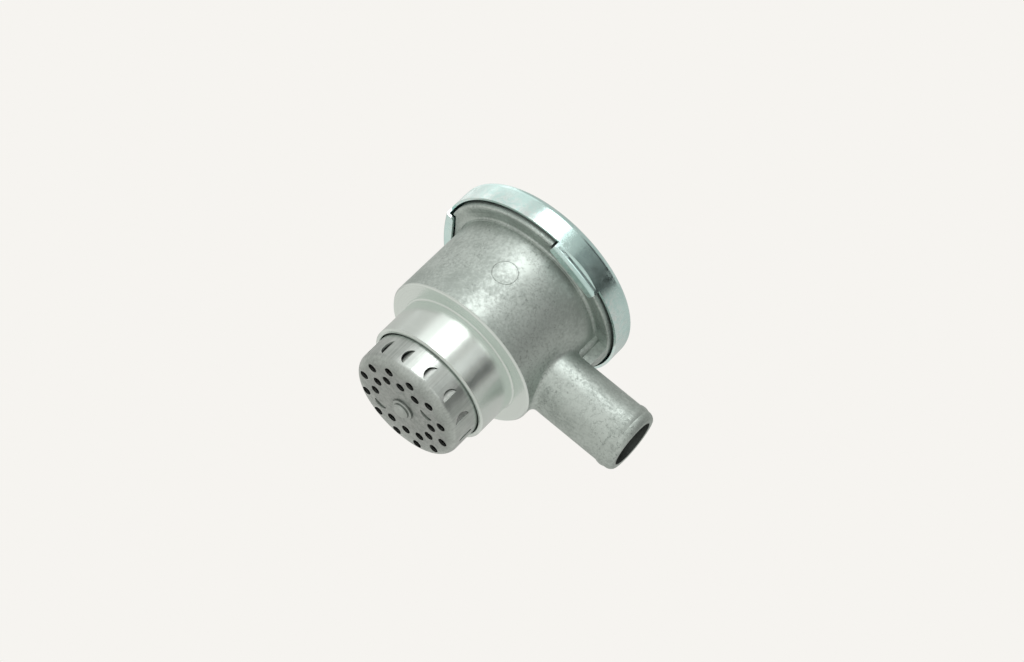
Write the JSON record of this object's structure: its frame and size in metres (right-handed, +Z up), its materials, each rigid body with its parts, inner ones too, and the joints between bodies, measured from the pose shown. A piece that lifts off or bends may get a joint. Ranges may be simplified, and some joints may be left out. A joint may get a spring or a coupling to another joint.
{
  "type": "hydraulic filler breather",
  "caption": "Tank filler neck with a strainer cage below, a bayonet breather cap on top and a straight hose port at the side.",
  "frame": {"origin": "on the neck's axis, in the plane of the shoulder that seats on the tank", "axes": "+Z up through the cap, +X along the hose port, away from the neck"},
  "size_m": [0.1078, 0.08, 0.0821],
  "materials": {
    "cast_aluminium": "die cast, mottled, with a bright turned spigot and shoulder",
    "zinc_plate": "bright clear-blue zinc plate",
    "seal_rubber": "matt nitrile",
    "spring_steel": "oiled spring steel",
    "cage_steel": "satin pressed steel",
    "wire_knit": "knitted wire, dark with oil"
  },
  "bodies": {
    "neck": {"neck_body": "cast_aluminium", "strainer_cage": "cage_steel", "wire_pack": "wire_knit", "pack_plate": "cage_steel", "cage_washer": "cage_steel", "cage_stud": "cage_steel", "snap_ring": "spring_steel"},
    "cap": {"filler_cap": "zinc_plate", "cap_gasket": "seal_rubber", "seal_plate": "zinc_plate", "cap_spring": "spring_steel", "cap_rivet": "zinc_plate"}
  },
  "joints": [
    {"name": "cap_turn", "type": "hinge", "parent": "neck", "child": "cap", "pos_m": [0, 0, 0.0385], "axis": [0, 0, -1], "range_deg": [0, 34]}
  ]
}
